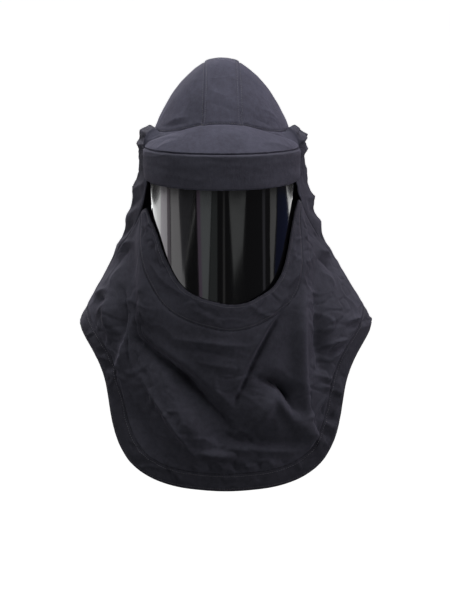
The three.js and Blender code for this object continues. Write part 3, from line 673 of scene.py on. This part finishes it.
def sew_panel(
    panel, material, away, creases=(), folds=(), stretch=(1, 1, 1), calm=1.0, inset=None, worn=0.0
):
    """Makes one panel of cloth from its CAD node: smooth form, creases, wrinkles, seam dips, stitches."""
    settings = cloth_settings()
    form = panel_mesh(panel.node)
    lines = rim_line(form)
    mesh = finished_mesh(panel.node + "_cloth", form, settings.smoothing)
    points = places(mesh)
    distance, inward = rim_distance(points, lines)
    # The cut rims are let out a little, so that the seam to the next panel closes
    let_out = settings.seam_closing * np.clip((2 * CLOTH - distance) / CLOTH, 0, 1)
    mesh.vertices.foreach_set("co", (points - inward * let_out[:, None]).ravel())
    height = calm * wrinkles(points, stretch) * np.clip(distance / (18 * MM), 0.1, 1)
    pulled = crease_height(points, creases, 1.2) + crease_height(points, folds, 2)
    if worn:
        pulled = settings.fold_share * pulled + worn * crumple(points)
    height += pulled * np.clip(distance / (9 * MM), 0.07, 1)
    height -= settings.seam_depth * np.exp(-((distance / (2.6 * MM)) ** 2))
    if inset:
        height -= 0.35 * settings.seam_depth * np.exp(-(((distance - inset) / (1.8 * MM)) ** 2))
    pushed(mesh, away(points), height)
    keep_distance(mesh, distance)
    piece = stand(panel.node + "_cloth", mesh, material, (panel.node,))
    going = [stitch_rows(piece, lines, inset, thread())] if inset and lines else []
    return piece


class HOOD_OT_crown(bpy.types.Operator):
    """Sew the three panels of the crown"""

    bl_idname = "hood.crown"
    bl_label = "Crown"

    def execute(self, context):
        twill = cloth("brushed cotton twill of the crown", "crown")
        for panel in CROWN_PANELS:
            sew_panel(panel, twill, from_crown, CROWN_CREASES, calm=0.5,
                      inset=context.scene.hood_cloth.stitch_inset)
        return {"FINISHED"}


class HOOD_OT_peak(bpy.types.Operator):
    """Sew the peak and its two gussets"""

    bl_idname = "hood.peak"
    bl_label = "Peak"

    def execute(self, context):
        twill = cloth("brushed cotton twill of the crown", "crown")
        for panel in PEAK_PANELS:
            sew_panel(panel, twill, from_axis, bunched(PEAK_BUNCHES), calm=0.6)
        return {"FINISHED"}


class HOOD_OT_band(bpy.types.Operator):
    """Make the padded band over the top of the window"""

    bl_idname = "hood.band"
    bl_label = "Padded band"

    def execute(self, context):
        twill = cloth("brushed cotton twill of the band", "band")
        form = panel_mesh("visor_band")
        mesh = finished_mesh("visor_band_padded", form, 3, rim=0.35)
        points = places(mesh)
        depth = -points[:, 2] / MM
        height = 0.7 * wrinkles(points, (0.5, 0.5, 2))
        height[np.linalg.norm(points[:, :2], axis=1) < 0.001] = 0
        pushed(mesh, from_axis(points), np.minimum(height, 0.8 * MM))
        # The distance counts from 1 mm beside each seam, so the painted seam shadow only half darkens the
        # band's edges and the painted highlight lightens them
        keep_distance(mesh, np.minimum(np.abs(depth - 149), np.abs(depth - 209)) * MM + 1 * MM)
        piece = stand("visor_band_padded", mesh, twill, ("visor_band",))
        return {"FINISHED"}


class HOOD_OT_window(bpy.types.Operator):
    """Make the curved window"""

    bl_idname = "hood.window"
    bl_label = "Window"

    def execute(self, context):
        form = panel_mesh("window")
        mesh = finished_mesh("window_pane", form, 2)
        mesh.set_sharp_from_angle(angle=RIM_ANGLE)
        stand("window_pane", mesh, smoky_polycarbonate(), ("window",))
        return {"FINISHED"}


class HOOD_OT_facing(bpy.types.Operator):
    """Sew the facing round the window and the rolled edges beside the band"""

    bl_idname = "hood.facing"
    bl_label = "Facing"

    def execute(self, context):
        twill = cloth("brushed cotton twill of the shroud", "shroud")
        rolled = cloth("brushed cotton twill of the band", "band")
        for panel in FACING_PANELS:
            sew_panel(panel, twill, from_axis, front_creases(), FRONT_FOLDS, calm=0.5,
                      inset=context.scene.hood_cloth.stitch_inset, worn=1.0)
        for node in ("edge_roll_left", "edge_roll_right"):
            mesh = finished_mesh(node + "_cloth", panel_mesh(node), 3, rim=0.2)
            points = places(mesh)
            pushed(mesh, from_axis(points), 0.5 * wrinkles(points, (1, 1, 3)))
            # A fixed 3 mm from any seam: no painted seam shadow, and part of the lighter rubbed edge with its
            # painted highlight all over
            keep_distance(mesh, np.full(len(points), 3 * MM))
            piece = stand(node + "_cloth", mesh, rolled, (node,))
        return {"FINISHED"}


class HOOD_OT_shroud(bpy.types.Operator):
    """Sew the shroud: its side panels, bib and back"""

    bl_idname = "hood.shroud"
    bl_label = "Shroud"

    def execute(self, context):
        twill = cloth("brushed cotton twill of the shroud", "shroud")
        gathers = bunched(EAR_BUNCHES + SIDE_BUNCHES)
        for panel in SHROUD_PANELS:
            back = panel.node == "back_panel"
            creases, folds = (gathers, BACK_FOLDS) if back else (front_creases(), FRONT_FOLDS)
            calm = 1.3 if panel.node.startswith("side") else 1.0
            sew_panel(panel, twill, from_axis, creases, folds, (1, 1, 0.7), calm, worn=1.0)
        return {"FINISHED"}


class HOOD_OT_hem(bpy.types.Operator):
    """Sew the hem bands, with two rows of stitches"""

    bl_idname = "hood.hem"
    bl_label = "Hem"

    def execute(self, context):
        twill = cloth("brushed cotton twill of the hem", "hem")
        for panel in HEM_PANELS:
            front = panel.node == "hem_front"
            creases, folds = (front_creases(), FRONT_FOLDS) if front else ((), BACK_FOLDS)
            sew_panel(panel, twill, from_axis, creases, folds, (1, 1, 0.7), 1.0,
                      context.scene.hood_cloth.stitch_inset, worn=1.0)
        return {"FINISHED"}


# A card of the studio as the window mirrors it: its left and right edge at its top and at its bottom, its
# top and bottom, in millimetres across and down on the window, its distance in metres and its light
Card = namedtuple("Card", "left right low_left low_right top bottom away red green blue")
STUDIO_CARDS = (
    Card(-124, -107, -124, -107, 190, 440, 3.0, 3.8, 3.85, 3.85),
    Card(-107, -96, -107, -94, 190, 440, 3.0, 2.6, 2.5, 2.65),
    Card(-96, -91, -94, -88, 190, 440, 3.0, 0.8, 0.72, 0.8),
    Card(-90, -74, -87, -60, 190, 440, 3.0, 1.5, 1.48, 1.5),
    Card(-76, -48, -68, -66, 190, 352, 2.8, 0.22, 0.22, 0.24),
    Card(-47, -45, -64, -63, 225, 335, 2.6, 1.4, 1.4, 1.4),
    Card(-44, -38, -38, -33, 190, 440, 3.0, 0.65, 0.5, 0.68),
    Card(-38, -18, -33, -25, 190, 440, 3.0, 0.75, 0.8, 0.82),
    Card(-17, -8, -23, -8, 190, 440, 3.0, 0.22, 0.24, 0.24),
    Card(2, 5, 2, 6, 190, 440, 3.0, 0.26, 0.26, 0.26),
    Card(12, 42, 18, 36, 190, 305, 3.0, 0.6, 0.62, 0.62),
    Card(18, 36, 21, 22, 305, 350, 3.0, 0.6, 0.62, 0.62),
    Card(70, 75, 72, 76, 190, 440, 3.0, 0.25, 0.25, 0.28),
    Card(84, 96, 86, 90, 190, 440, 3.0, 0.62, 0.62, 0.62),
    Card(98, 118, 92, 110, 190, 440, 3.0, 0.03, 0.04, 0.11),
    Card(112, 126, 123, 125, 190, 292, 2.6, 2.4, 2.4, 2.4),
)


def mirrored_place(across, down, away):
    """Where the camera's view goes on to from a place on the window, as far away as given."""
    low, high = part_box("window")
    half = (high[0] - low[0]) / 2
    bow = -low[1] - WINDOW_SETBACK
    turn = math.asin(max(-0.995, min(0.995, across * MM / half)))
    lean = 2 * math.atan(bow / half * math.tan(turn))
    fall = math.tan(bpy.context.scene.hood_studio.camera_elevation)
    start = Vector((across * MM, -WINDOW_SETBACK - bow * math.cos(turn), -down * MM))
    return start + away * Vector((math.sin(lean), -math.cos(lean), -fall))


def studio_cards():
    """Lit cards that only reflections show."""
    form = bmesh.new()
    light = form.verts.layers.float_color.new("card_light")
    for card in STUDIO_CARDS:
        made = bmesh.ops.create_grid(form, x_segments=1, y_segments=1, size=1)["verts"]
        for vert in made:
            left = vert.co.x < 0
            if vert.co.y > 0:
                across, down = (card.left if left else card.right), card.top
            else:
                across, down = (card.low_left if left else card.low_right), card.bottom
            vert.co = mirrored_place(across, down, card.away)
            vert[light] = (card.red, card.green, card.blue, 1)
    mesh = bpy.data.meshes.new("studio_cards")
    form.to_mesh(mesh)
    form.free()
    material = bpy.data.materials.new("backlit studio cards")
    material.use_nodes = True
    tree = material.node_tree
    tree.nodes.clear()
    glow = add_node(tree, "ShaderNodeAttribute", attribute_name="card_light")
    lit = add_node(tree, "ShaderNodeEmission", [(glow.outputs["Color"], "Color")])
    add_node(tree, "ShaderNodeOutputMaterial", [(lit.outputs["Emission"], "Surface")])
    mesh.materials.append(material)
    cards = bpy.data.objects.new("studio_cards", mesh)
    cards.visible_camera = False
    cards.visible_diffuse = False
    cards.visible_shadow = False
    bpy.context.scene.collection.objects.link(cards)


def studio_world(scene):
    """A white surround that lights the hood only dimly."""
    world = bpy.data.worlds.new("studio")
    world.use_nodes = True
    scene.world = world
    tree = world.node_tree
    tree.nodes.clear()
    white = (1, 1, 1, 1)
    seen = add_node(tree, "ShaderNodeBackground", Color=white, Strength=1.0)
    cast = add_node(tree, "ShaderNodeBackground", Color=white, Strength=0.04)
    direct = add_node(tree, "ShaderNodeLightPath").outputs["Is Camera Ray"]
    mixed = add_node(tree, "ShaderNodeMixShader", [
        (direct, "Fac"), (cast.outputs["Background"], 1), (seen.outputs["Background"], 2)])
    add_node(tree, "ShaderNodeOutputWorld", [(mixed.outputs["Shader"], "Surface")])


def softbox(name, place, size, power, colour=(1, 1, 1)):
    """A large square light that looks at the hood's middle."""
    data = bpy.data.lights.new(name, "AREA")
    data.shape = "RECTANGLE"
    data.size, data.size_y = size
    data.energy = power
    data.color = colour
    lamp = bpy.data.objects.new(name, data)
    lamp.location = place
    lamp.rotation_euler = (Vector((0, 0, -0.4)) - Vector(place)).to_track_quat("-Z", "Y").to_euler()
    bpy.context.scene.collection.objects.link(lamp)
    return lamp


class HOOD_OT_stage(bpy.types.Operator):
    """Set up the camera, the lights and the floor"""

    bl_idname = "hood.stage"
    bl_label = "Stage"

    def execute(self, context):
        scene = context.scene
        studio = scene.hood_studio
        target = Vector((0.0055, -0.09, -0.415))
        rise = studio.camera_elevation
        data = bpy.data.cameras.new("camera")
        data.lens = data.sensor_width * studio.camera_distance / studio.view_height
        camera = bpy.data.objects.new("camera", data)
        camera.location = target + studio.camera_distance * Vector((0, -math.cos(rise), math.sin(rise)))
        camera.rotation_euler = (math.pi / 2 - rise, 0, 0)
        scene.collection.objects.link(camera)
        scene.camera = camera
        scene.view_settings.view_transform = "Standard"

        studio_world(scene)
        studio_cards()
        lilac = (1, 0.92, 1)
        softbox("light overhead", (0, -0.05, 2.2), (1.0, 1.0), 64)
        softbox("light over the front", (0, -1.0, 2.0), (0.9, 0.7), 14)
        softbox("light above the right", (1.5, -0.3, 1.5), (0.9, 0.9), 10, lilac)
        softbox("light behind the left", (-2.0, 1.2, 0.3), (0.7, 1.2), 9, lilac)
        softbox("light behind the right", (2.0, 1.2, 0.3), (0.7, 1.2), 9, lilac)
        softbox("light beside the left", (-2.2, -0.7, 0.2), (0.7, 1.0), 9)
        softbox("light beside the right", (2.2, -0.7, 0.2), (0.7, 1.0), 10, lilac)
        softbox("light before the left", (-1.6, -1.8, 0.4), (0.9, 0.9), 7)
        softbox("light before the right", (1.6, -1.8, 0.4), (0.9, 0.9), 7)
        softbox("light behind the back", (-0.7, 2.6, 1.0), (1.4, 1.0), 34)
        softbox("low light from the left", (-1.8, -1.0, -1.3), (0.9, 0.9), 3)
        softbox("low light from the right", (1.8, -1.0, -1.3), (0.9, 0.9), 10)

        form = bmesh.new()
        bmesh.ops.create_grid(form, x_segments=8, y_segments=8, size=30)
        bmesh.ops.translate(form, verts=form.verts, vec=(0, 0, -1.7))
        mesh = bpy.data.meshes.new("floor")
        form.to_mesh(mesh)
        form.free()
        mesh.materials.append(matte_paint(studio.floor_colour))
        floor = bpy.data.objects.new("floor", mesh)
        floor.visible_diffuse = False
        floor.visible_glossy = False
        scene.collection.objects.link(floor)
        return {"FINISHED"}


MAKERS = (
    HOOD_OT_stage,
    HOOD_OT_crown,
    HOOD_OT_peak,
    HOOD_OT_band,
    HOOD_OT_window,
    HOOD_OT_facing,
    HOOD_OT_shroud,
    HOOD_OT_hem,
)


class HOOD_PT_panel(bpy.types.Panel):
    """Lists the hood's pieces and their settings"""

    bl_idname = "HOOD_PT_panel"
    bl_label = "Arc flash hood"
    bl_space_type = "VIEW_3D"
    bl_region_type = "UI"
    bl_category = "Hood"

    def draw(self, context):
        scene = context.scene
        for settings in (scene.hood_cloth, scene.hood_window, scene.hood_studio):
            box = self.layout.box()
            for name in settings.__annotations__:
                box.prop(settings, name)
        for maker in MAKERS:
            self.layout.operator(maker.bl_idname)


SETTINGS = {
    "hood_cloth": HoodClothSettings,
    "hood_window": HoodWindowSettings,
    "hood_studio": HoodStudioSettings,
}


def register():
    for group in (*SETTINGS.values(), *MAKERS, HOOD_PT_panel):
        bpy.utils.register_class(group)
    for name, group in SETTINGS.items():
        setattr(bpy.types.Scene, name, bpy.props.PointerProperty(type=group))


def unregister():
    for name in SETTINGS:
        delattr(bpy.types.Scene, name)
    for group in reversed((*SETTINGS.values(), *MAKERS, HOOD_PT_panel)):
        bpy.utils.unregister_class(group)


def main():
    register()
    for maker in MAKERS:
        group, action = maker.bl_idname.split(".")
        getattr(getattr(bpy.ops, group), action)()


if __name__ == "__main__":
    main()
